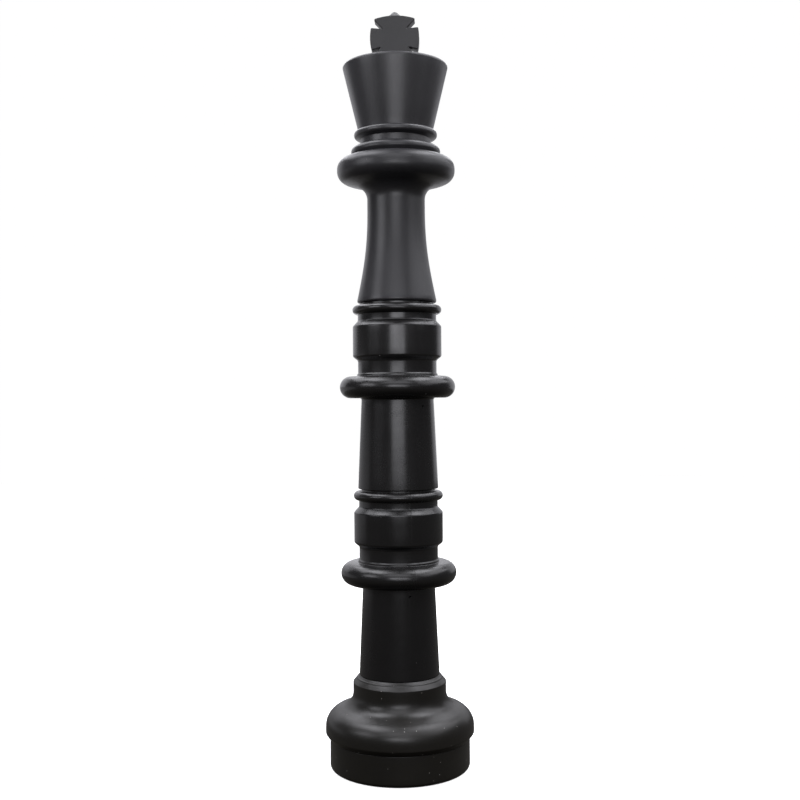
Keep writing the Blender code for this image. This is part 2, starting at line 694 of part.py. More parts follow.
def main():
    for left in list(bpy.data.objects):
        bpy.data.objects.remove(left, do_unlink=True)

    base_axis = axis_empty("base_axis", 0.0)
    plug_axis = axis_empty("plug_axis", RECESS_ROOF, base_axis)
    lower_axis = axis_empty("lower_axis", LOWER_START, base_axis)
    upper_axis = axis_empty("upper_axis", UPPER_START, lower_axis)
    king_axis = axis_empty("king_axis", KING_START, upper_axis)
    cross_axis = axis_empty("cross_axis", CROSS_START, king_axis)

    base_drum(material("drum_black", (0.011, 0.011, 0.011), 0.42), base_axis)
    base_bell(material("bell_black", (0.012, 0.012, 0.013), 0.4), base_axis)
    sand_ballast(material("dry_sand", (0.55, 0.45, 0.3), 0.95), base_axis)
    filler_plug(material("plug_black", (0.014, 0.014, 0.014), 0.5), plug_axis)
    filler_seal(material("seal_rubber", (0.02, 0.02, 0.02), 0.85), plug_axis)
    glossy = material("extension_black", (0.009, 0.009, 0.009), 0.28)
    extension("lower_extension", LOWER_START, LOWER_VENT_TURN, glossy, lower_axis)
    glossy = material("upper_extension_black", (0.009, 0.009, 0.009), 0.28)
    extension("upper_extension", UPPER_START, UPPER_VENT_TURN, glossy, upper_axis)
    king_neck(material("neck_black", (0.014, 0.014, 0.015), 0.42), king_axis)
    king_crown(material("crown_black", (0.014, 0.014, 0.015), 0.45), king_axis)
    cross(material("cross_black", (0.015, 0.015, 0.015), 0.5), cross_axis)


main()
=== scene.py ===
"""The looks of the giant garden chess king: smooth turned shells, the cross, plastics and studio.

Every turned shell is spun from an outline of rounded corners (radius, height, rounding) in
millimetres. Heights count from the bottom of its own CAD node, so it lies where that node lies;
only the crown's count from the bottom of the neck under it.
"""

import math

import bmesh
import bpy
import numpy as np
from mathutils import Matrix, Vector


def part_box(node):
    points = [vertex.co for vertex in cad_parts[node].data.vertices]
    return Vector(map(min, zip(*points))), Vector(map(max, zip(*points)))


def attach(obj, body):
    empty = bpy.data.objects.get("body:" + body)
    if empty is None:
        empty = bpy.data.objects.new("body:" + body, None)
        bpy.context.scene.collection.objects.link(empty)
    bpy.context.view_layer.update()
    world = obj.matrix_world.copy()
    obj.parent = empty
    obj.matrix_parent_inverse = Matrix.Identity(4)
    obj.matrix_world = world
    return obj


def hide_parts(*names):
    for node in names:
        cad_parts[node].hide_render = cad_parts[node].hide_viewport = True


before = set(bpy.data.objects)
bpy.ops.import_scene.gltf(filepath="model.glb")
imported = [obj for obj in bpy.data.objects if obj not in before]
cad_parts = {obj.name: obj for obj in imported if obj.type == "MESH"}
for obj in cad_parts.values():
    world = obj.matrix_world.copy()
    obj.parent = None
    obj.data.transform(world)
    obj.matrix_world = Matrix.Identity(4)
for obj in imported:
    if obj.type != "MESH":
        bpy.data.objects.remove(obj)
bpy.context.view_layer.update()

MM = 0.001
COLUMNS = 160  # around a turned piece
ARC_TURN = math.radians(9)  # the most that one row of a rounded corner turns
LONG_ROW = 12.0  # the longest straight row, in mm
SHARP = math.radians(32)  # an edge that folds more than this stays crisp
LEAST_ROWS = 3  # of a rounded corner
HANDLE = 0.39  # length of a cubic's handles, as a share of its chord
OUTER_RADIUS = 58.0  # an outline's points outside it belong to the outer skin, in mm
TINY = 1e-6


# ---------------------------------------------------------------- outlines, in mm


def arc_between(corner, before, after, radius):
    """Points of the arc that rounds the corner between its two neighbours."""
    to_before = (before - corner).normalized()
    to_after = (after - corner).normalized()
    half = to_before.angle(to_after) / 2
    turn = math.pi - 2 * half
    reach = radius / math.tan(half)
    middle = corner + (to_before + to_after).normalized() * (radius / math.sin(half))
    start = corner + to_before * reach - middle
    stop = corner + to_after * reach - middle
    steps = max(LEAST_ROWS, math.ceil(turn / ARC_TURN))
    sign = 1 if start.x * stop.y - start.y * stop.x > 0 else -1
    return [
        middle + Matrix.Rotation(sign * turn * i / steps, 2) @ start for i in range(steps + 1)
    ]


def rounded(corners):
    """An outline from corners (radius, height, rounding); a corner with no rounding is sharp."""
    places = [Vector(corner[:2]) for corner in corners]
    points = []
    for i, corner in enumerate(corners):
        if len(corner) < 3 or i in (0, len(corners) - 1):
            points.append(places[i])
        else:
            points.extend(arc_between(places[i], places[i - 1], places[i + 1], corner[2]))
    return points


def bend(start, start_slope, stop, stop_slope, steps=28):
    """A smooth cubic between two points; a slope is the radius gained per unit of height."""
    first = Vector(start)
    last = Vector(stop)
    handle = HANDLE * (last - first).length
    second = first + Vector((start_slope, 1)).normalized() * handle
    third = last - Vector((stop_slope, 1)).normalized() * handle
    points = []
    for i in range(steps + 1):
        t = i / steps
        s = 1 - t
        points.append(
            first * s**3 + second * 3 * s * s * t + third * 3 * s * t * t + last * t**3
        )
    return points


def spaced(points, extra_heights=()):
    """The outline with long straight rows cut up, and with rows at some extra heights."""
    result = [points[0]]
    for before, after in zip(points, points[1:]):
        length = (after - before).length
        if length < TINY:
            continue
        cuts = math.ceil(length / LONG_ROW)
        shares = {i / cuts for i in range(1, cuts)}
        for height in extra_heights:
            crossed = min(before.y, after.y) < height < max(before.y, after.y)
            if crossed and before.x > OUTER_RADIUS:
                shares.add((height - before.y) / (after.y - before.y))
        for share in sorted(shares):
            result.append(before.lerp(after, share))
        result.append(after)
    return result


# ---------------------------------------------------------------- turned pieces


SEAM_HEIGHT = 0.16  # mm that a parting line stands proud
SEAM_WIDTH = 0.55
SEAM_CLEARANCE = 0.03  # radians on each side of a parting line without even columns
SEAM_OFFSETS = (0, 0.3, 0.6, 0.9, 1.2, 1.6)  # degrees from a parting line to its own columns
PIT_RADIUS = 1.25
PIT_DEPTH = 2.4
PIT_BRINK = 1.35  # where the funnel of a needle hole meets the skin, in pit radii
PIT_LIMIT = 1.3  # the farthest points that the funnel pulls in, in pit radii
OVAL_RISE = 47  # mm of height in which the two-lobed wave turns by a radian
LOBED_RISE = 83  # the same for the three-lobed wave
LOBED_SHARE = 0.6  # its height, as a share of the two-lobed wave's


def column_angles(seams):
    """Angles of the columns: even all round, with extra ones close to each parting line."""
    angles = {round(math.tau * i / COLUMNS, 6) for i in range(COLUMNS)}
    for seam in seams:
        angles = {a for a in angles if abs(math.remainder(a - seam, math.tau)) > SEAM_CLEARANCE}
        for offset in SEAM_OFFSETS:
            for side in (-1, 1):
                angles.add(round((seam + side * math.radians(offset)) % math.tau, 6))
    return np.array(sorted(angles))


def outward(points):
    """Unit normals of an outline that runs up its outer side: to the right of its run."""
    xy = np.array([tuple(p) for p in points])
    run = np.gradient(xy, axis=0)
    run /= np.maximum(np.linalg.norm(run, axis=1, keepdims=True), 1e-9)
    return np.stack([run[:, 1], -run[:, 0]], axis=1)


def turned(name, points, ring=False, seams=(), pit=None, unevenness=0.0, phase=0.0, base=0.0):
    """A shell spun about Z. Heights start at base, in metres; the rest is in mm.

    Parting lines stand proud by a hair, a pit is the needle hole of the moulding, and the
    unevenness is the slight shrinkage that leaves a moulded wall a little short of round. The
    faces in and round a pit take the second material, a near-black finish: painted shade in the
    hole.
    """
    angles = column_angles(seams)
    rows = np.array([tuple(p) for p in points])
    normals = outward(points)
    on_axis = rows[:, 0] < TINY
    grid_r = np.repeat(rows[:, :1], len(angles), axis=1)
    grid_z = np.repeat(rows[:, 1:], len(angles), axis=1)
    push = np.zeros_like(grid_r)
    outside = (rows[:, 0] > OUTER_RADIUS)[:, None]
    wave = np.sin(2 * angles + phase) * np.sin(rows[:, 1:] / OVAL_RISE + phase)
    wave += LOBED_SHARE * np.sin(3 * angles + 2.1 * phase + rows[:, 1:] / LOBED_RISE)
    crest = 1 + LOBED_SHARE
    push -= unevenness * (crest + wave) / (2 * crest)
    for seam in seams:
        away = np.array([math.remainder(a - seam, math.tau) for a in angles]) * grid_r
        push += SEAM_HEIGHT * np.exp(-((away / SEAM_WIDTH) ** 2))
    push = np.where(outside, push, 0.0)
    hollow = np.zeros(grid_r.shape, dtype=bool)
    if pit:
        pit_angle, pit_height = pit
        away = np.array([math.remainder(a - pit_angle, math.tau) for a in angles]) * grid_r
        reach = np.hypot(away, grid_z - pit_height)
        near = (reach < PIT_LIMIT * PIT_RADIUS) & outside
        push -= near * PIT_DEPTH * np.clip(PIT_BRINK - reach / PIT_RADIUS, 0, 1)
        hollow = reach < PIT_BRINK * PIT_RADIUS
    grid_r = grid_r + push * normals[:, :1]
    grid_z = grid_z + push * normals[:, 1:]
    shape = bmesh.new()
    grid = []
    for i in range(len(rows)):
        if on_axis[i]:
            centre = shape.verts.new((0, 0, base + rows[i, 1] * MM))
            grid.append([centre] * len(angles))
            continue
        ring_points = []
        for j, angle in enumerate(angles):
            radius = grid_r[i, j] * MM
            place = (radius * math.cos(angle), radius * math.sin(angle), base + grid_z[i, j] * MM)
            ring_points.append(shape.verts.new(place))
        grid.append(ring_points)
    if ring:
        grid.append(grid[0])
    for i, (low, high) in enumerate(zip(grid, grid[1:])):
        for j in range(len(angles)):
            k = (j + 1) % len(angles)
            corners = []
            for corner in (low[j], low[k], high[k], high[j]):
                if corner not in corners:
                    corners.append(corner)
            if len(corners) > 2:
                face = shape.faces.new(corners)
                # the pit's faces take the near-black second material: painted shade in the needle
                # hole
                face.material_index = int(hollow[i, j])
    return finished(name, shape)


def finished(name, shape):
    """An object from a bmesh, facing out, smooth but for its sharp edges."""
    bmesh.ops.recalc_face_normals(shape, faces=shape.faces)
    mesh = bpy.data.meshes.new(name)
    shape.to_mesh(mesh)
    shape.free()
    mesh.shade_smooth()
    mesh.set_sharp_from_angle(angle=SHARP)
    piece = bpy.data.objects.new(name, mesh)
    bpy.context.scene.collection.objects.link(piece)
    return piece


# ---------------------------------------------------------------- plastics


MIX_A, MIX_B, MIX_COLOUR = 6, 7, 2  # the colour sockets of a Mix node


class Plastic:
    """Builds one procedural plastic: mottled colour, flow marks, orange peel, dust and wear."""

    def __init__(self, name):
        self.material = bpy.data.materials.new(name)
        self.material.use_nodes = True
        self.tree = self.material.node_tree
        self.shader = self.tree.nodes["Principled BSDF"]
        coordinates = self.node("ShaderNodeTexCoord")
        self.place = coordinates.outputs["Object"]

    def node(self, kind, **values):
        made = self.tree.nodes.new(kind)
        for key, value in values.items():
            if key in made.inputs.keys():
                made.inputs[key].default_value = value
            else:
                setattr(made, key, value)
        return made

    def link(self, source, target):
        self.tree.links.new(source, target)

    def noise(self, scale, detail=3.0, roughness=0.5, stretch=None):
        """Noise in the object's own metres; stretch scales x, y and z before it."""
        made = self.node("ShaderNodeTexNoise", Scale=scale, Detail=detail, Roughness=roughness)
        source = self.place
        if stretch:
            mapping = self.node("ShaderNodeMapping")
            mapping.inputs["Scale"].default_value = stretch
            self.link(source, mapping.inputs["Vector"])
            source = mapping.outputs["Vector"]
        self.link(source, made.inputs["Vector"])
        return made.outputs["Fac"]

    def ranged(self, source, low, high, to_low, to_high):
        made = self.node("ShaderNodeMapRange")
        made.inputs["From Min"].default_value = low
        made.inputs["From Max"].default_value = high
        made.inputs["To Min"].default_value = to_low
        made.inputs["To Max"].default_value = to_high
        self.link(source, made.inputs["Value"])
        return made.outputs["Result"]

    def math(self, operation, first, second):
        made = self.node("ShaderNodeMath", operation=operation)
        for socket, value in zip(made.inputs, (first, second)):
            if isinstance(value, (int, float)):
                socket.default_value = value
            else:
                self.link(value, socket)
        return made.outputs["Value"]

    def mixed(self, share, first, second):
        made = self.node("ShaderNodeMix", data_type="RGBA")
        self.link(share, made.inputs["Factor"])
        for socket, value in ((made.inputs[MIX_A], first), (made.inputs[MIX_B], second)):
            if isinstance(value, tuple):
                socket.default_value = (*value, 1.0)
            else:
                self.link(value, socket)
        return made.outputs[MIX_COLOUR]

    def specks(self, scale, size, share):
        """Sparse round specks of dust: a mask that is 1 on a speck."""
        cells = self.node("ShaderNodeTexVoronoi", Scale=scale, Randomness=1.0)
        self.link(self.place, cells.inputs["Vector"])
        spot = self.ranged(cells.outputs["Distance"], size, size * 0.6, 0.0, 1.0)
        chosen = self.node("ShaderNodeSeparateColor")
        self.link(cells.outputs["Color"], chosen.inputs["Color"])
        kept = self.math("GREATER_THAN", chosen.outputs["Red"], 1.0 - share)
        return self.math("MULTIPLY", spot, kept)

    def upward(self):
        """How much the surface faces up, from 0 to 1."""
        geometry = self.node("ShaderNodeNewGeometry")
        parts = self.node("ShaderNodeSeparateXYZ")
        self.link(geometry.outputs["Normal"], parts.inputs["Vector"])
        return self.ranged(parts.outputs["Z"], 0.45, 0.95, 0.0, 1.0)


DARKER = 0.72  # the darkest mottle of a plastic against its colour
LIGHTER = 1.3  # and the lightest
FILM_SHARE = 0.05  # of the dust film where it is thickest
FILM_COLOUR = (0.10, 0.10, 0.098)


def black_plastic(
    name, colour, roughness, peel, dust, ripple=1.6, dust_tone=0.16, ior=1.5, specular=0.5
):
    """Moulded black polythene.

    Peel is the depth of its orange-peel skin, ripple the height of its long shallow waves in
    peels, and dust the share of the skin's cells that hold a speck.
    """
    kit = Plastic(name)
    dark = tuple(c * DARKER for c in colour)
    light = tuple(c * LIGHTER for c in colour)
    mottle = kit.ranged(kit.noise(7.0, 5.0, 0.62), 0.32, 0.68, 0.0, 1.0)
    tone = kit.mixed(mottle, dark, light)
    flow = kit.noise(16.0, 4.0, 0.6, stretch=(3.0, 3.0, 0.35))
    flow_mask = kit.ranged(flow, 0.45, 0.75, 0.0, 1.0)
    settled = kit.math("MULTIPLY", kit.upward(), kit.ranged(kit.noise(38.0), 0.3, 0.75, 0.3, 1.0))
    film = kit.math("MULTIPLY", settled, FILM_SHARE)
    tone = kit.mixed(film, tone, FILM_COLOUR)
    speck = kit.specks(110.0, 0.085, dust)
    tone = kit.mixed(speck, tone, (dust_tone, dust_tone * 0.97, dust_tone * 0.91))
    kit.link(tone, kit.shader.inputs["Base Color"])

    patch = kit.ranged(kit.noise(11.0, 4.0, 0.55), 0.3, 0.7, -0.03, 0.04)
    grain = kit.ranged(kit.noise(310.0, 2.0), 0.3, 0.7, -0.02, 0.02)
    gloss = kit.math("ADD", kit.math("ADD", patch, grain), roughness)
    gloss = kit.math("ADD", gloss, kit.math("MULTIPLY", flow_mask, 0.035))
    gloss = kit.math("ADD", gloss, kit.math("MULTIPLY", settled, 0.05))
    gloss = kit.math("ADD", gloss, kit.math("MULTIPLY", speck, 0.3))
    kit.link(gloss, kit.shader.inputs["Roughness"])

    skin = kit.math("MULTIPLY", kit.noise(420.0, 2.0, 0.45), 0.7)
    waves = kit.math("MULTIPLY", kit.noise(45.0, 1.0, 0.3, stretch=(0.6, 0.6, 1.4)), ripple)
    scratch = kit.ranged(kit.noise(30.0, 6.0, 0.8, stretch=(9.0, 9.0, 0.6)), 0.66, 0.7, 0.0, 0.5)
    relief = kit.math("SUBTRACT", kit.math("ADD", skin, waves), scratch)
    bump = kit.node("ShaderNodeBump")
    bump.inputs["Strength"].default_value = 1.0
    bump.inputs["Distance"].default_value = peel
    kit.link(relief, bump.inputs["Height"])
    kit.link(bump.outputs["Normal"], kit.shader.inputs["Normal"])
    kit.shader.inputs["IOR"].default_value = ior
    kit.shader.inputs["Specular IOR Level"].default_value = specular
    return kit.material


NUB_HIGHLIGHT = 9.5  # mm at the top of the cross's nub painted pale: a painted highlight on its upward-facing tip
NUB_FADE = 4.0  # mm in which the pale tone comes in
NUB_HIGHLIGHT_COLOUR = (0.20, 0.20, 0.20, 1.0)


def painted_nub_highlight(material, height):
    """Turns a plastic pale above a height: a painted highlight on the top of the cross's nub."""
    tree = material.node_tree
    shader = tree.nodes["Principled BSDF"]
    colour = shader.inputs["Base Color"].links[0].from_socket
    place = tree.nodes.new("ShaderNodeTexCoord")
    parts = tree.nodes.new("ShaderNodeSeparateXYZ")
    mask = tree.nodes.new("ShaderNodeMapRange")
    mask.inputs["From Min"].default_value = height
    mask.inputs["From Max"].default_value = height + NUB_FADE * MM
    mix = tree.nodes.new("ShaderNodeMix")
    mix.data_type = "RGBA"
    mix.inputs[MIX_B].default_value = NUB_HIGHLIGHT_COLOUR
    tree.links.new(place.outputs["Object"], parts.inputs["Vector"])
    tree.links.new(parts.outputs["Z"], mask.inputs["Value"])
    tree.links.new(mask.outputs["Result"], mix.inputs["Factor"])
    tree.links.new(colour, mix.inputs[MIX_A])
    tree.links.new(mix.outputs[MIX_COLOUR], shader.inputs["Base Color"])


def rubber():
    """Dull black seal rubber with a fine pitted skin."""
    kit = Plastic("seal_rubber_skin")
    bloom = kit.ranged(kit.noise(60.0, 5.0, 0.7), 0.4, 0.75, 0.0, 1.0)
    tone = kit.mixed(bloom, (0.012, 0.012, 0.012), (0.035, 0.034, 0.033))
    kit.link(tone, kit.shader.inputs["Base Color"])
    kit.link(kit.ranged(kit.noise(240.0), 0.3, 0.7, 0.72, 0.9), kit.shader.inputs["Roughness"])
    bump = kit.node("ShaderNodeBump")
    bump.inputs["Distance"].default_value = 0.00008
    kit.link(kit.noise(700.0, 2.0), bump.inputs["Height"])
    kit.link(bump.outputs["Normal"], kit.shader.inputs["Normal"])
    return kit.material


def sand():
    """Dry yellow sand: grains in colour and in relief."""
    kit = Plastic("dry_sand_fill")
    grains = kit.node("ShaderNodeTexVoronoi", Scale=900.0)
    kit.link(kit.place, grains.inputs["Vector"])
    tint = kit.ranged(grains.outputs["Distance"], 0.1, 0.8, 0.0, 1.0)
    patch = kit.mixed(kit.noise(25.0, 5.0), (0.42, 0.31, 0.18), (0.62, 0.5, 0.33))
    kit.link(kit.mixed(tint, patch, (0.3, 0.21, 0.12)), kit.shader.inputs["Base Color"])
    kit.link(kit.ranged(kit.noise(90.0), 0.3, 0.7, 0.86, 0.98), kit.shader.inputs["Roughness"])
    bump = kit.node("ShaderNodeBump")
    bump.inputs["Distance"].default_value = 0.0006
    kit.link(grains.outputs["Distance"], bump.inputs["Height"])
    kit.link(bump.outputs["Normal"], kit.shader.inputs["Normal"])
    return kit.material


# ---------------------------------------------------------------- pieces


GAP = 0.3  # between a section and the one that it stands on
WALL = 3.0
SPIGOT = (55.0, 53.0, 28.0)  # radius at the root and the tip, height
SOCKET = (55.5, 53.5, 30.0)  # radius at the mouth and the roof, depth
PITCH = 305.0  # height that one extension adds
DRUM_TOP = 66.0
RIDGE_TOP = 256.6  # above the lower edge of the neck
CROSS_TURN = math.radians(-2.5)  # its face looks slightly to the left


def placed(piece, body, node, finish):
    """Rides, stands in for a CAD node and takes its finish."""
    piece.data.materials.append(finish)
    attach(piece, body)
    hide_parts(node)
    return piece


def spigot(root):
    """From above the root of a spigot to the axis."""
    low, tip, height = SPIGOT
    return rounded([(low, root), (tip, root + height, 2.5), (0.0, root + height)])[1:]


def socket(inner):
    """From a radius at the roof of a socket down to its mouth."""
    mouth, roof, depth = SOCKET
    return rounded([(inner, depth), (roof, depth, 1.0), (mouth, 0.0)])


def make_drum(finish):
    """The tub of the base, with its foot ring, its stepped rim and the filler's recess."""
    low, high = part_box("base_drum")
    outer = round(high.x / MM, 3)
    height = (high.z - low.z) / MM
    rim = outer - 3.0
    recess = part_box("filler_plug")[1].x / MM + 2.0
    roof = 26.0
    neck = 20.4
    neck_top = 41.0
    ring = 88.0  # inner radius of the foot ring
    under = 4.0  # height of the underside within it
    inside = under + WALL
    step = 49.8
    points = rounded(
        [
            (ring, 0.0, 0.6),
            (outer, 0.0, 7.2),
            (outer, step, 0.8),
            (rim, step, 0.4),
            (rim, height, 0.8),
            (rim - WALL, height, 0.8),
            (rim - WALL, step - WALL, 1.0),
            (outer - WALL, step - 2 * WALL, 1.0),
            (outer - WALL, inside, 6.0),
            (recess + WALL, inside, 1.5),
            (recess + WALL, roof + WALL, 1.5),
            (neck + WALL, roof + WALL, 1.0),
            (neck + WALL, neck_top, 0.8),
            (neck, neck_top, 0.8),
            (neck, roof, 0.6),
            (recess, roof, 1.0),
            (recess, under, 1.2),
            (ring, under, 0.6),
            (ring, 0.5),
        ]
    )
    piece = turned("drum_shell", spaced(points)[1:], ring=True, base=low.z)
    return placed(piece, "base", "base_drum", finish)


def make_bell(finish):
    """The cover of the base: chamfered lip, ogee, bevelled neck and spigot."""
    low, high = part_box("base_bell")
    outer = high.x / MM
    seat = (high.z - low.z) / MM - SPIGOT[2]
    lip = 50.3  # height of the bell's lower edge above the ground
    lip_inside = 111.8
    shoulder = 90.0 - lip
    waist = 106.5 - lip
    neck = 76.6
    neck_top = 140.4 - lip
    inner = rounded(
        [
            (0.0, seat + SPIGOT[2] - WALL),
            (SPIGOT[1] - WALL, seat + SPIGOT[2] - WALL, 2.0),
            (SPIGOT[0] - WALL, seat - WALL, 2.0),
            (neck - 2 * WALL, seat - WALL, 3.0),
            (neck - WALL, waist - WALL, 20.0),
            (outer - WALL, shoulder - WALL, 24.0),
            (outer - WALL, DRUM_TOP + WALL - lip),
            (lip_inside, DRUM_TOP - lip),
        ]
    )
    skin = rounded(
        [
            (lip_inside, 0.0),
            (116.0, 0.0, 0.5),
            (outer, 8.2, 3.5),
            (outer, shoulder, 30.0),
            (neck, waist, 25.0),
            (neck, neck_top, 1.3),
            (66.0, seat, 0.4),
            (SPIGOT[0], seat, 0.8),
            (SPIGOT[0], seat + 5),
        ]
    )
    points = spaced(inner + skin[:-1] + spigot(seat))
    piece = turned("bell_shell", points, unevenness=0.10, phase=0.7, base=low.z)
    return placed(piece, "base", "base_bell", finish)


VENT_HEIGHT = 135.0  # of the needle hole above an extension's lower edge
VENT_ROWS = (0.0, 0.4, 0.85, 1.25, 1.7, 2.4)  # rows of the skin above and below its middle


def make_extension(node, body, vent_turn, phase, finish, vent_shade_finish):
    """One raising section with its parting lines and the needle hole on one of them."""
    low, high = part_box(node)
    outer = high.x / MM
    wide = 73.1
    bead = 73.4
    bead_low, bead_high, bead_round = 286.0, 300.8, 7.3
    collar_low, collar_high, collar_round = 148.5, 184.5, 17.9
    slim = 64.8
    seat = 60.5
    top = PITCH - GAP
    skin = rounded(
        [
            (SOCKET[0], 0.0, 0.8),
            (66.1, 0.0, 1.2),
            (59.4, collar_low, 3.0),
            (outer, collar_low, collar_round),
            (outer, collar_high, collar_round),
            (66.6, collar_high, 1.2),
            (66.4, 187.6, 0.9),
            (slim, 189.6, 0.9),
            (slim, 210.0, 5.0),
            (wide, 216.6, 5.0),
            (wide, 266.4, 4.5),
            (slim, 275.2, 4.5),
            (slim, bead_low, 1.0),
            (bead, bead_low, bead_round),
            (bead, bead_high, bead_round),
            (seat, bead_high, 0.8),
            (seat, top, 0.8),
            (SPIGOT[0], top, 0.6),
            (SPIGOT[0], top + 4),
        ]
    )
    vent = (math.radians(-90 + vent_turn), VENT_HEIGHT)
    rows = [VENT_HEIGHT + side * step for step in VENT_ROWS for side in (-1, 1)]
    points = spaced(socket(0.0) + skin[1:-1] + spigot(top), rows)
    seams = (vent[0] % math.tau, (vent[0] + math.pi) % math.tau)
    piece = turned(
        node + "_shell", points, seams=seams, pit=vent, unevenness=0.12, phase=phase, base=low.z
    )
    placed(piece, body, node, finish)
    # the needle hole's faces take this near-black finish: painted shade in the hole
    piece.data.materials.append(vent_shade_finish)
    return piece


def make_neck(finish):
    """The king's tapering neck with its collar and ridge."""
    low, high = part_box("king_neck")
    collar = high.x / MM
    foot = 65.2
    slim = 47.5
    groove = 57.8
    top = RIDGE_TOP
    ring = 44.0
    ring_top = (high.z - low.z) / MM
    ridge = 73.4
    hollow = 65.5  # inner radius of the ridge
    stem_top = 155.0
    throat = 166.0  # where the head's outline takes over from the stem's
    flare = -0.21
    foot_round = rounded([(SOCKET[0], 0.0, 0.8), (foot, 0.0, 3.0), (foot, 6.0)])[1:-1]
    stem = bend((foot, 4.0), flare, (slim, stem_top), 0.0)
    head = rounded(
        [
            (slim, throat),
            (slim, 188.0, 24.0),
            (collar, 202.3, 18.0),
            (collar, 235.2, 18.0),
            (68.5, 239.6, 0.5),
            (ridge, 245.5, 4.5),
            (ridge, top, 8.6),
            (groove, top - 0.2, 0.8),
            (groove, top, 0.05),
            (ring, top, 0.5),
            (ring, ring_top, 1.0),
            (ring - WALL, ring_top, 1.0),
            (ring - WALL, top - WALL),
            (hollow, 250.0),
            (hollow, 237.0),
            (collar - WALL, 232.0, 15.0),
            (collar - WALL, 205.3, 15.0),
            (slim - WALL, 191.0, 24.0),
            (slim - WALL, throat),
        ]
    )
    roof = SOCKET[2] + WALL
    inner = bend((SOCKET[1], roof), flare, (slim - WALL, stem_top), 0.0)
    vent = 8.0  # radius of the opening in the socket's roof
    points = socket(vent) + foot_round + stem + head + list(reversed(inner))
    points.append(Vector((vent, roof)))
    piece = turned("neck_shell", spaced(points), ring=True, base=low.z)
    return placed(piece, "king_head", "king_neck", finish)


def make_crown(finish):
    """The flaring crown with its bead, rolled rim and domed lid.

    Its heights count from the lower edge of the neck that it stands on.
    """
    bottom = RIDGE_TOP + GAP
    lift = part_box("king_neck")[0].z
    hole = 9.3
    rim = 388.7
    edge = 81.3
    foot = 282.0
    bore = 44.3
    groove = 54.6
    flange = 57.8
    bead = 68.3
    lid_edge = 78.0
    lid_steps = 24
    dome = 11.0
    rim_top = rim + 1.8
    lid = []
    for i in range(lid_steps + 1):
        radius = lid_edge + (hole - lid_edge) * i / lid_steps
        lid.append(Vector((radius, rim + dome * (1 - (radius / edge) ** 2))))
    floor = lid[-1].y - 25.0
    skin = rounded(
        [
            (0.0, floor - WALL),
            (hole + WALL, floor - WALL, 1.5),
            (hole + WALL, lid[-1].y - WALL, 1.0),
            (edge, rim - WALL, 1.0),
            (58.6, foot, 1.0),
            (groove, 276.0, 1.0),
            (groove, bottom + WALL, 1.0),
            (bore, bottom + WALL, 0.5),
            (bore, bottom, 0.5),
            (flange, bottom, 0.6),
            (flange, 268.3, 0.8),
            (bead, 272.2, 4.5),
            (bead, foot, 5.2),
            (61.3, foot, 0.5),
            (87.5, rim_top, 4.2),
            (80.0, rim_top, 2.0),
            tuple(lid[0]),
        ]
    )
    points = skin + lid[1:] + [Vector((hole, floor)), Vector((0.0, floor))]
    piece = turned("crown_shell", spaced(points), base=lift)
    return placed(piece, "king_head", "king_crown", finish)


def plan_points(corners):
    """A closed outline with every corner rounded by its third value, or sharp where it is 0."""
    count = len(corners)
    points = []
    for i, (x, z, radius) in enumerate(corners):
        corner = Vector((x, z))
        before = Vector(corners[i - 1][:2])
        after = Vector(corners[(i + 1) % count][:2])
        points.extend(arc_between(corner, before, after, radius) if radius else [corner])
    return points


def bowed(start, stop, bow, steps):
    """Inner points of a line from start to stop that bows out to the left of its run."""
    first = Vector(start)
    along = Vector(stop) - first
    out = Vector((-along.y, along.x)).normalized() * bow
    points = []
    for i in range(1, steps):
        t = i / steps
        points.append(first + along * t + out * 4 * t * (1 - t))
    return points


LEAST_FACING = 0.45  # keeps a sharp corner of an inset outline from running away


def inset_outline(outline, amount):
    """The outline moved inwards by an amount, along the mean of its two edges' normals."""
    count = len(outline)
    moved = []
    for i, point in enumerate(outline):
        before = (point - outline[i - 1]).normalized()
        after = (outline[(i + 1) % count] - point).normalized()
        side = Vector((before.y + after.y, -before.x - after.x)).normalized()
        reach = amount / max(LEAST_FACING, side.dot(Vector((after.y, -after.x))))
        moved.append(point + side * reach)
    return moved


def slab(outline, half, bevel, steps):
    """Rings of points of a slab: the outline's front edge rounds off, and so does its back."""
    rings = []
    for side in (-1, 1):
        for i in range(steps + 1):
            angle = math.pi / 2 * (i if side < 0 else steps - i) / steps
            inset = bevel * (1 - math.sin(angle))
            depth = side * (half - bevel * (1 - math.cos(angle)))
            rings.append([(p.x, depth, p.y) for p in inset_outline(outline, inset)])
    return rings


def skinned(shape, rings, matrix):
    """Joins rings of points (mm) with quads, and closes both ends."""
    rows = [[shape.verts.new(matrix @ (Vector(p) * MM)) for p in ring] for ring in rings]
    count = len(rows[0])
    for near, far in zip(rows, rows[1:]):
        for i in range(count):
            k = (i + 1) % count
            shape.faces.new((near[i], near[k], far[k], far[i]))
    shape.faces.new(rows[0])
    shape.faces.new(rows[-1])


def oval(half_width, half_depth, height, sides):
    """A level ring of points, in mm."""
    ring = []
    for i in range(sides):
        angle = math.tau * i / sides
        ring.append((half_width * math.cos(angle), half_depth * math.sin(angle), height))
    return ring


NUB = (  # height, half width and half depth of the stub left by the mould, in mm
    (34.5, 14.0, 2.6),
    (38.0, 11.0, 2.5),
    (40.5, 8.6, 2.3),
    (42.0, 6.9, 2.0),
    (43.4, 5.2, 1.7),
    (44.5, 3.8, 1.4),
    (45.2, 2.8, 1.1),
    (45.6, 1.9, 0.7),
)
NUB_SIDES = 24
STEM_SIDES = 48
MOST_SIDES = 60  # a face with more sides than this is the flat front or back of the slab


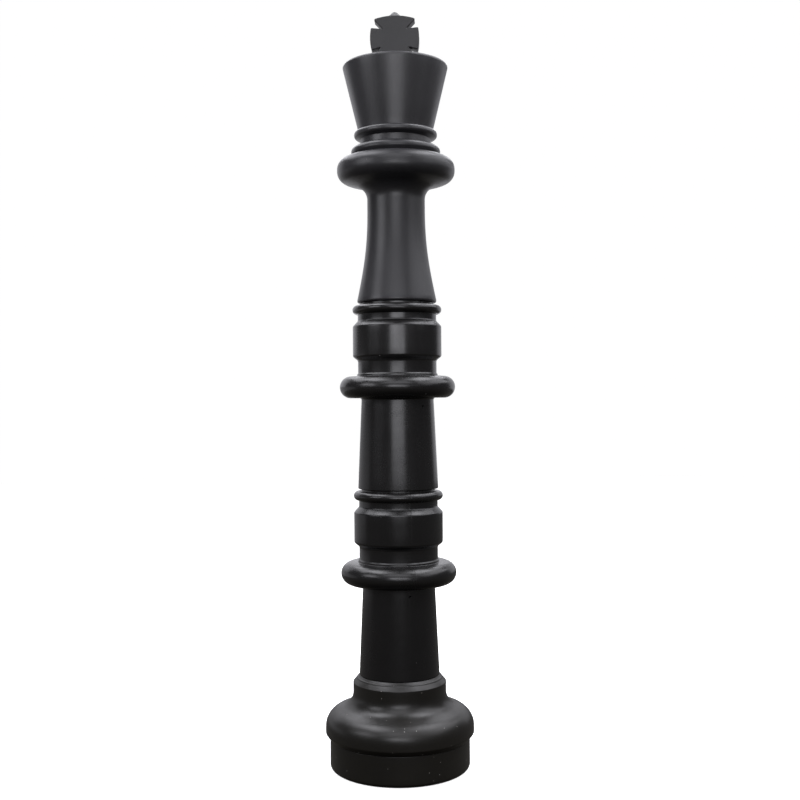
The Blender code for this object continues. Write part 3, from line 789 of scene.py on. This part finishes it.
def make_cross(finish):
    """The cross: a slab with softened edges, a moulding nub on top and a stem below."""
    low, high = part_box("cross")
    middle = high.z - NUB[-1][0] * MM
    half = 11.0
    bevel = 1.5
    bevel_steps = 4
    foot = -34.3
    side_bow = bowed((38.4, -18.3), (39.0, 17.0), -1.7, 12)
    right = [(35.0, 31.2, 2.2), (19.8, 15.2, 0.5), (39.0, 17.2, 1.8)]
    right += [(p.x, p.y, 0) for p in reversed(side_bow)]
    right += [(38.0, -19.4, 1.8), (22.8, -15.0, 0.5), (37.0, foot, 1.8)]
    left = [(-x, z, r) for x, z, r in reversed(right)]
    top = [(p.x, p.y, 0) for p in bowed((-35.0, 31.2), (35.0, 31.2), 5.8, 16)]
    outline = plan_points(right + left + top)
    turn = Matrix.Rotation(CROSS_TURN, 4, "Z")
    place = Matrix.Translation((0, 0, middle)) @ turn
    shape = bmesh.new()
    skinned(shape, slab(outline, half, bevel, bevel_steps), place)
    skinned(shape, [oval(width, depth, z, NUB_SIDES) for z, width, depth in NUB], place)
    bottom = (low.z - middle) / MM
    stem = ((bottom, 8.0), (bottom + 1.0, 9.0), (-30.0, 9.0), (-28.0, 8.2))
    skinned(shape, [oval(radius, radius, z, STEM_SIDES) for z, radius in stem], place)
    piece = finished("cross_slab", shape)
    edge_at = {edge.key: edge.index for edge in piece.data.edges}
    for face in piece.data.polygons:
        if len(face.vertices) > MOST_SIDES:
            for key in face.edge_keys:
                piece.data.edges[edge_at[key]].use_edge_sharp = True
    return placed(piece, "finial", "cross", finish)


# ---------------------------------------------------------------- studio


LAMP_COLOUR = (1.0, 1.0, 1.055)  # a little cool


def area_light(name, place, target, width, height, radiance):
    """A soft box that faces a target; its strength is given as radiance."""
    data = bpy.data.lights.new(name, "AREA")
    data.shape = "RECTANGLE"
    data.color = LAMP_COLOUR
    data.size = width
    data.size_y = height
    data.energy = radiance * math.pi * width * height
    light = bpy.data.objects.new(name, data)
    light.location = place
    facing = Vector(target) - Vector(place)
    light.rotation_euler = facing.to_track_quat("-Z", "Y").to_euler()
    light.visible_camera = False
    bpy.context.scene.collection.objects.link(light)
    return light


def glowing(name, colour, strength, diffuse=0.0):
    """A plain pale stage paint that also gives off some light of its own."""
    made = bpy.data.materials.new(name)
    made.use_nodes = True
    shader = made.node_tree.nodes["Principled BSDF"]
    shader.inputs["Base Color"].default_value = (diffuse, diffuse, diffuse, 1.0)
    shader.inputs["Roughness"].default_value = 0.9
    shader.inputs["Emission Color"].default_value = (*colour, 1.0)
    shader.inputs["Emission Strength"].default_value = strength
    return made


FLOOR_RADIUS = 7.0  # metres
FLOOR_DROP = 0.0004  # the floor lies this far under the king's foot, so the two don't coincide
DOME_RADIUS = 7.2
FLOOR_DIM = 0.80  # glow of the floor under the king
FLOOR_BRIGHT = 1.0  # and from a distance of FLOOR_FADE outwards
FLOOR_FADE = 1.6


def make_stage():
    """A pale floor, and a pale dome that only the camera sees."""
    shape = bmesh.new()
    bmesh.ops.create_circle(shape, cap_ends=True, segments=96, radius=FLOOR_RADIUS)
    bmesh.ops.translate(shape, vec=(0, 0, -FLOOR_DROP), verts=shape.verts)
    floor = finished("studio_floor", shape)
    paper = glowing("floor_paper", (1.0, 1.0, 1.0), 1.0, 0.8)
    tree = paper.node_tree
    place = tree.nodes.new("ShaderNodeTexCoord")
    away = tree.nodes.new("ShaderNodeVectorMath")
    away.operation = "LENGTH"
    glow = tree.nodes.new("ShaderNodeMapRange")
    glow.inputs["From Max"].default_value = FLOOR_FADE
    glow.inputs["To Min"].default_value = FLOOR_DIM
    glow.inputs["To Max"].default_value = FLOOR_BRIGHT
    tree.links.new(place.outputs["Object"], away.inputs[0])
    tree.links.new(away.outputs["Value"], glow.inputs["Value"])
    shader = tree.nodes["Principled BSDF"]
    tree.links.new(glow.outputs["Result"], shader.inputs["Emission Strength"])
    floor.data.materials.append(paper)
    floor.visible_glossy = False
    floor.visible_diffuse = False
    shape = bmesh.new()
    bmesh.ops.create_uvsphere(shape, u_segments=48, v_segments=24, radius=DOME_RADIUS)
    dome = finished("studio_dome", shape)
    dome.data.materials.append(glowing("dome_paper", (1.0, 1.0, 1.0), 1.0))
    for flag in ("visible_glossy", "visible_diffuse", "visible_shadow", "visible_transmission"):
        setattr(dome, flag, False)


FLOOR_GLOW = 0.02  # what the king reflects from straight below
ROOM_GLOW = 0.13  # and from all round
WARM_BELOW = (1.0, 0.94, 0.84, 1.0)
COOL_ABOVE = (1.0, 0.99, 1.05, 1.0)


def make_world():
    """Nearly dark surroundings: the soft boxes light the king."""
    world = bpy.data.worlds.new("studio_world")
    world.use_nodes = True
    tree = world.node_tree
    background = tree.nodes["Background"]
    direction = tree.nodes.new("ShaderNodeTexCoord")
    parts = tree.nodes.new("ShaderNodeSeparateXYZ")
    level = tree.nodes.new("ShaderNodeMapRange")
    level.inputs["From Min"].default_value = -0.9
    level.inputs["From Max"].default_value = -0.3
    level.inputs["To Min"].default_value = FLOOR_GLOW
    level.inputs["To Max"].default_value = ROOM_GLOW
    tree.links.new(direction.outputs["Generated"], parts.inputs["Vector"])
    tree.links.new(parts.outputs["Z"], level.inputs["Value"])
    tree.links.new(level.outputs["Result"], background.inputs["Strength"])
    tint = tree.nodes.new("ShaderNodeMix")
    tint.data_type = "RGBA"
    tint.inputs[MIX_A].default_value = WARM_BELOW
    tint.inputs[MIX_B].default_value = COOL_ABOVE
    share = tree.nodes.new("ShaderNodeMapRange")
    share.inputs["From Min"].default_value = -0.5
    share.inputs["From Max"].default_value = 0.1
    tree.links.new(parts.outputs["Z"], share.inputs["Value"])
    tree.links.new(share.outputs["Result"], tint.inputs["Factor"])
    tree.links.new(tint.outputs[MIX_COLOUR], background.inputs["Color"])
    bpy.context.scene.world = world


# Solved from the curvature of the rings and from the outline.
CAMERA_PLACE = (0.0040, -1.848, 0.6027)
CAMERA_LENS = 50.4
CAMERA_ROLL = math.radians(-0.44)  # spreads the error of the photographed stack's lean


def make_camera():
    """Level camera in front of the king at a little under half its height."""
    data = bpy.data.cameras.new("camera")
    data.sensor_width = 36.0
    data.lens = CAMERA_LENS
    camera = bpy.data.objects.new("camera", data)
    camera.location = CAMERA_PLACE
    level = Matrix.Rotation(math.pi / 2, 3, "X")
    camera.rotation_euler = (level @ Matrix.Rotation(CAMERA_ROLL, 3, "Z")).to_euler()
    bpy.context.scene.collection.objects.link(camera)
    bpy.context.scene.camera = camera


RING_RADIUS = 2.2  # of the ring that the soft boxes stand on, in metres

# The radiances of both tables are not all chosen by hand: most are the output of a least-squares
# fit of single-lamp renders to the photo, rounded. report.md says more, under "Rule not met".

# Name, the azimuths it spans (degrees, 0 in front and 90 on the right), heights, radiance.
SOFT_BOXES = (
    ("front_key_left", -17, 1, 0.82, 1.18, 5.4),
    ("front_key_right", 1, 19, 0.82, 1.18, 3.4),
    ("front_mid_left", -17, 1, 0.60, 0.82, 3),
    ("front_mid_right", 1, 19, 0.60, 0.82, 3.9),
    ("front_low", -12, 20, 0.25, 0.60, 0.45),
    ("front_upper", -16, 14, 1.18, 2.10, 0.7),
    ("front_high", -34, 30, 2.10, 3.30, 2.2),
    ("front_left", -46, -18, 0.85, 2.10, 0.2),
    ("front_left_low", -46, -18, 0.40, 0.85, 0.02),
    ("front_right", 20, 44, 0.85, 1.60, 0.3),
    ("front_right_low", 20, 50, 0.40, 0.85, 0.05),
    ("left_mid", -76, -48, 0.50, 1.10, 0.15),
    ("left_key", -76, -46, 1.10, 1.65, 3.6),
    ("left_upper", -76, -50, 1.65, 2.30, 1.35),
    ("left_high", -150, -92, 2.30, 3.30, 2.95),
    ("left_back", -165, -126, 0.70, 1.90, 0.8),
    ("left_low", -180, -92, 0.00, 0.70, 0.3),
    ("right_key", 44, 76, 1.60, 3.30, 1.6),
    ("right_mid", 52, 72, 1.10, 1.60, 1.1),
    ("right_side", 76, 130, 1.50, 2.30, 1.9),
    ("right_high", 76, 150, 2.30, 3.30, 2.2),
    ("right_back", 126, 165, 0.35, 1.60, 0.6),
    ("rear_mid", 165, 195, 0.90, 1.90, 1.0),
    ("rear_high", 150, 210, 1.90, 3.30, 3.0),
    ("rear_low", 165, 195, 0.30, 0.90, 0.8),
)

# Name, centre x and y, width, length and radiance of the ceiling boxes.
CEILING_BOXES = (
    ("ceiling_left", -1.5, 0.0, 1.2, 1.8, 5.6),
    ("ceiling_right", 1.5, 0.0, 1.2, 1.8, 5.7),
    ("ceiling_left_inner", -0.6, -0.6, 0.6, 1.8, 1.9),
    ("ceiling_right_inner", 0.6, -0.6, 0.6, 1.8, 1.4),
    ("ceiling_left_front", -1.5, -1.2, 1.2, 0.6, 2.2),
    ("ceiling_right_front", 1.5, -1.2, 1.2, 0.6, 1),
    ("ceiling_left_rear", -1.5, 1.2, 1.2, 0.6, 1.1),
    ("ceiling_right_rear", 1.5, 1.2, 1.2, 0.6, 1.9),
    ("ceiling_rear", 0.0, 1.5, 1.8, 0.8, 2.0),
    ("ceiling_front", 0.0, -1.8, 1.8, 0.6, 1.5),
)
CEILING = 3.3


def make_lights():
    """Soft boxes on a ring around the king, and others flat under the ceiling."""
    for name, first, last, low, high, radiance in SOFT_BOXES:
        turn = math.radians((first + last) / 2)
        width = 2 * RING_RADIUS * math.tan(math.radians(last - first) / 2)
        height = (low + high) / 2
        place = (RING_RADIUS * math.sin(turn), -RING_RADIUS * math.cos(turn), height)
        area_light(name, place, (0, 0, height), width, high - low, radiance)
    for name, x, y, width, length, radiance in CEILING_BOXES:
        box = area_light(name, (x, y, CEILING), (x, y, 0), width, length, radiance)
        box.rotation_euler = (0, 0, 0)


# ---------------------------------------------------------------- build


def main():
    bpy.context.scene.view_settings.view_transform = "Standard"
    make_camera()
    make_world()
    make_stage()
    make_lights()

    base_finish = black_plastic(
        "base_black",
        (0.0078, 0.0070, 0.0053),
        roughness=0.32,
        peel=0.000035,
        dust=0.35,
        dust_tone=0.4,
    )
    satin = black_plastic(
        "extension_black",
        (0.0060, 0.0057, 0.0057),
        roughness=0.23,
        peel=0.000016,
        dust=0.05,
        ripple=8.0,
    )
    # The head's and the crown's black is lighter than the extensions': painted light, lifting the
    # head and its shaded undersides.
    head_finish = black_plastic(
        "king_black", (0.0175, 0.0173, 0.0192), roughness=0.35, peel=0.000036, dust=0.04
    )
    crown_finish = black_plastic(
        "crown_black", (0.0180, 0.0178, 0.0202), roughness=0.35, peel=0.00003, dust=0.04, ior=1.6
    )
    cross_finish = black_plastic(
        "cross_black", (0.0142, 0.0140, 0.0146), roughness=0.45, peel=0.000042, dust=0.03
    )
    # the pale top of the nub is a painted highlight
    painted_nub_highlight(cross_finish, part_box("cross")[1].z - NUB_HIGHLIGHT * MM)
    # near-black, almost unreflecting finish for the needle holes: painted shade in them, not the
    # plastic's colour
    vent = black_plastic(
        "vent_painted_shade",
        (0.0015, 0.0015, 0.0016),
        roughness=0.8,
        peel=0.00003,
        dust=0.0,
        specular=0.05,
    )
    plug_finish = black_plastic(
        "plug_black", (0.011, 0.011, 0.011), roughness=0.5, peel=0.0001, dust=0.06
    )

    make_drum(base_finish)
    make_bell(base_finish)
    make_extension("lower_extension", "lower_section", 17.0, 0.4, satin, vent)
    make_extension("upper_extension", "upper_section", 43.0, 2.2, satin, vent)
    make_neck(head_finish)
    make_crown(crown_finish)
    make_cross(cross_finish)
    for node, finish in (
        ("filler_plug", plug_finish),
        ("filler_seal", rubber()),
        ("sand_ballast", sand()),
    ):
        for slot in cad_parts[node].material_slots:
            slot.material = finish


main()
